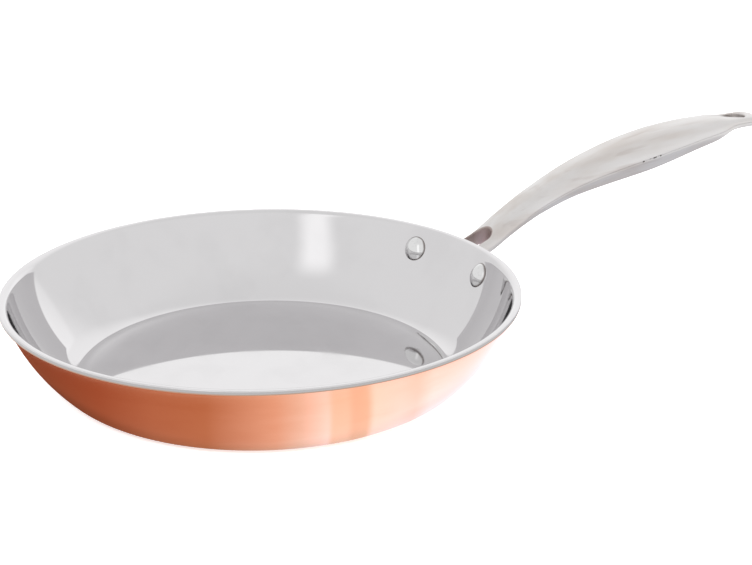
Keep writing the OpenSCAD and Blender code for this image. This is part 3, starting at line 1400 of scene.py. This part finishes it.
@dataclass
class Studio:
    """Floor, light, camera, and the sheets that shape the metal's reflections."""

    eye: Triple = (-0.46021, -0.71227, 0.3575)
    look: Triple = (0.56183, 0.75263, -0.34338)
    lens: float = 86.17
    sensor: float = 36
    clip: Pair = (0.02, 60)
    floor_size: float = 12
    floor_steps: int = 8
    floor_z: float = -0.05 * MM
    floor_pale: Triple = (0.86, 0.86, 0.86)
    floor_dull: Triple = (0.83, 0.83, 0.83)
    floor_mottle: float = 3
    floor_roughness: float = 0.6
    floor_light: Triple = (1, 1, 1)
    floor_glow: float = 0.6
    walls: float = 0.97
    ceiling: float = 0.92
    ceiling_from: Pair = (0.75, 0.97)
    ahead_glow: Glow = Glow(8, 18, 12, 45, 0.2)
    side_glow: Glow = Glow(34, 9, 12, 16, 0.09)
    strip_glow: Glow = Glow(-155, 28, 18, 36, 0.34)
    strip_ends: tuple[Pair, Pair] = ((-157, 20), (-149, 46))
    strip_width: Pair = (2, 11)
    key_from: Pair = (180, 42)
    key_aim: Triple = (60 * MM, 0, 20 * MM)
    key_power: float = 42
    key_size: float = 0.6
    key_reach: float = 1.5
    card_r: float = 150 * MM
    card_z: float = 0.5 * MM
    card_steps: int = 128
    card_light: float = 2
    card_dim: Triple = (0.32, 0.38, 0.45)
    card_dim_range: Pair = (93 * MM, 107 * MM)
    card_dim_squash: float = 0.86
    card_right_from: Pair = (0.66, 0.86)
    card_right_ease: float = 0.52
    flag_at: Triple = (300 * MM, -15 * MM, 0.4 * MM)
    flag_size: Triple = (240 * MM, 230 * MM, 1)
    # The flag glows dimmer than the apron: painted shade of the floor under the handle, seen only
    # in reflections.
    flag_light: Triple = (0.71, 0.71, 0.74)
    apron_at: Triple = (0, 0, 0.3 * MM)
    apron_size: Triple = (4, 4, 1)
    apron_light: Triple = (1.05, 1.05, 1.05)
    card: tuple[tuple[float, Triple], ...] = (
        (0.0, (0.13, 0.04, 0.02)),
        (0.15, (0.19, 0.07, 0.0375)),
        (0.275, (0.25, 0.125, 0.08)),
        (0.4, (0.275, 0.15, 0.095)),
        (0.56, (0.45, 0.36, 0.32)),
        (0.615, (0.505, 0.51, 0.53)),
        (0.676, (0.66, 0.71, 0.84)),
        (0.688, (0.59, 0.585, 0.585)),
        (0.72, (0.595, 0.59, 0.59)),
        (0.735, (0.545, 0.505, 0.475)),
        (0.765, (0.56, 0.525, 0.49)),
        (0.78, (0.75, 0.74, 0.84)),
        (0.84, (0.75, 0.73, 0.86)),
        (0.875, (0.69, 0.67, 0.76)),
        (0.91, (0.78, 0.79, 0.96)),
        (1.0, (0.72, 0.715, 0.835)),
    )

    def __post_init__(self) -> None:
        """Works out the level directions ahead and to the right of the camera."""
        self.ahead = Vector((self.look[0], self.look[1], 0)).normalized()
        self.right = self.ahead.cross(Vector((0, 0, 1)))

    def way(self, turn: float, rise: float) -> Vector:
        """A direction in the room.

        Args:
            turn: Degrees to the right of the line that the camera looks along.
            rise: Degrees over the horizon.

        Returns:
            The direction.
        """
        a, e = math.radians(turn), math.radians(rise)
        level = self.ahead * math.cos(a) + self.right * math.sin(a)
        return level * math.cos(e) + Vector((0, 0, math.sin(e)))

    def hang(self, name: str, data: Any, where: Vector, facing: Vector) -> bpy.types.Object:
        """Puts a camera or light in the room.

        Args:
            name: Its name.
            data: Its settings.
            where: Its place.
            facing: The direction that it points in.

        Returns:
            The new object.
        """
        thing = bpy.data.objects.new(name, data)
        bpy.context.scene.collection.objects.link(thing)
        thing.location = where
        thing.rotation_mode = "QUATERNION"
        thing.rotation_quaternion = facing.to_track_quat("-Z", "Y")
        return thing

    def camera(self) -> None:
        """Sets the camera where the photograph was taken from."""
        data = bpy.data.cameras.new("camera")
        data.lens, data.sensor_width = self.lens, self.sensor
        data.clip_start, data.clip_end = self.clip
        camera = self.hang("camera", data, Vector(self.eye), Vector(self.look))
        bpy.context.scene.camera = camera

    def key_light(self) -> None:
        """Hangs a soft box behind the camera, which faces the pan and stays out of reflections."""
        aim = Vector(self.key_aim)
        data = bpy.data.lights.new("key_box", "AREA")
        data.shape, data.size = "SQUARE", self.key_size
        data.energy = self.key_power
        where = aim + self.way(*self.key_from) * self.key_reach
        self.hang("key_box", data, where, aim - where).visible_glossy = False

    def floor(self) -> None:
        """Lays a plain pale floor, lit from within like a light table."""
        Bench.clear()
        bpy.ops.mesh.primitive_grid_add(
            x_subdivisions=self.floor_steps, y_subdivisions=self.floor_steps, size=self.floor_size
        )
        floor = bpy.context.object
        floor.name = "floor"
        floor.location.z = self.floor_z
        p = Paint("pale_floor")
        mottle = p.noise(p.place(), self.floor_mottle, p.COARSE)
        sockets = {
            "Base Color": p.blend(mottle, rgba(self.floor_pale), rgba(self.floor_dull)),
            "Roughness": self.floor_roughness,
            "Emission Color": rgba(self.floor_light),
            "Emission Strength": self.floor_glow,
        }
        floor.data.materials.append(p.shader("ShaderNodeBsdfPrincipled", sockets))

    def sheet(
        self,
        sheet: bpy.types.Object,
        name: str,
        colour: Triple | Callable[[Paint], Wire],
        light: float = 1,
    ) -> None:
        """Makes a sheet glow for reflections alone: nothing else sees it.

        Args:
            sheet: The sheet.
            name: Its name.
            colour: Its colour, or a function that makes it in a node tree.
            light: Strength of its light.
        """
        sheet.name = name
        p = Paint(f"{name}_sheet")
        colour = colour(p) if callable(colour) else rgba(colour)
        glow = p.shader("ShaderNodeEmission", {"Color": colour, "Strength": light})
        sheet.data.materials.append(glow)
        sheet.visible_camera = sheet.visible_diffuse = False
        sheet.visible_shadow = sheet.visible_transmission = False

    def card_colour(self, p: Paint) -> Wire:
        """Colour of the sheet under the rim, painted light and shadow of the floor that only
        reflections see: dark on the left, and dimmed near the pan's foot.

        Args:
            p: The node tree that it is made in.

        Returns:
            The colour.
        """
        level = p.node("ShaderNodeVectorMath", {"operation": "NORMALIZE"}, {0: p.place()})
        across = (p.facing(level, self.right) + 1) * 0.5
        colour = p.node("ShaderNodeValToRGB", {"stops": self.card}, {0: across})
        side, front = (p.facing(p.place(), way) for way in (self.right, self.ahead))
        out = p.length(p.vector(side * self.card_dim_squash, front, 0.0))
        near = 1 - out.above(*self.card_dim_range)
        near = near * (1 - across.above(*self.card_right_from) * self.card_right_ease)
        return p.scaled(colour, p.vector(*(1 - near * dim for dim in self.card_dim)))

    def sheets(self) -> None:
        """Lays the sheets that only reflections see: under the rim, the handle and all round."""
        Bench.clear()
        bpy.ops.mesh.primitive_circle_add(
            vertices=self.card_steps, radius=self.card_r, fill_type=Fill.FACE.value
        )
        bpy.context.object.location.z = self.card_z
        self.sheet(bpy.context.object, "reflector", self.card_colour, self.card_light)
        for name, at, size, colour in (
            ("flag", self.flag_at, self.flag_size, self.flag_light),
            ("apron", self.apron_at, self.apron_size, self.apron_light),
        ):
            Bench.clear()
            bpy.ops.mesh.primitive_grid_add(x_subdivisions=1, y_subdivisions=1, size=1)
            bpy.context.object.location = at
            bpy.context.object.scale = size
            self.sheet(bpy.context.object, name, colour)

    def patch(self, p: Paint, way: Wire, glow: Glow) -> Wire:
        """Light of a glow in a direction.

        Args:
            p: The node tree that it is made in.
            way: The direction.
            glow: The glow.

        Returns:
            Its light there.
        """
        near = p.facing(way, self.way(glow.turn, glow.rise))
        edge, full = math.cos(math.radians(glow.outer)), math.cos(math.radians(glow.inner))
        return near.above(edge, full) * glow.strength

    def sky(self) -> None:
        """Fills the room with soft white light: dimmer overhead, and brighter in a few patches."""
        p = Paint("studio", bpy.data.worlds)
        way = p.node("ShaderNodeTexCoord", output="Generated")
        light = self.walls + p.parts(way)[2].above(*self.ceiling_from) * (self.ceiling - self.walls)
        light = light + self.patch(p, way, self.ahead_glow) + self.patch(p, way, self.side_glow)
        low, high = (self.way(*end) for end in self.strip_ends)
        across = abs(p.facing(way, low.cross(high).normalized()))
        inside, outside = (math.sin(math.radians(a)) for a in self.strip_width)
        light = light + self.patch(p, way, self.strip_glow) * (1 - across.above(inside, outside))
        back = p.node("ShaderNodeBackground", None, {"Color": light, "Strength": 1.0})
        p.node("ShaderNodeOutputWorld", None, {"Surface": back})
        bpy.context.scene.world = p.material

    def build(self) -> None:
        """Sets up the studio."""
        self.camera()
        self.floor()
        self.sheets()
        self.sky()
        self.key_light()
        bpy.context.scene.view_settings.view_transform = "Standard"


NODE_LOOKS: dict[str, tuple[Finish, Slot]] = {
    "copper_shell": (PolishedCopper(), Slot.COPPER),
    "aluminium_core": (CutAluminium(), Slot.ALUMINIUM),
    "steel_liner": (MirrorSteel(), Slot.POLISHED),
    "handle_neck": (SatinSteel(), Slot.SATIN),
    "handle_upper_shell": (SatinSteel(), Slot.SATIN),
    "handle_lower_shell": (SatinSteel(), Slot.SATIN),
    "rivet_left": (RivetSteel(), Slot.RIVET),
    "rivet_right": (RivetSteel(), Slot.RIVET),
}


def main() -> None:
    """Sets up the studio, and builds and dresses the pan."""
    logging.basicConfig(level=logging.INFO, format="%(name)s: %(message)s")
    pan = PanShape()
    rivets = RivetSet(pan)
    handle = HandleShape(pan.rim_r, rivets.height, rivets.root_x)
    Studio().build()
    for part in (HollowHandle(handle), CastNeck(handle, pan, rivets), PanBody(pan), rivets):
        for piece in part.dress():
            looks = piece.active_material.name
            LOG.info("%s: %d faces, %s", piece.name, len(piece.data.polygons), looks)


if __name__ == "__main__":
    main()
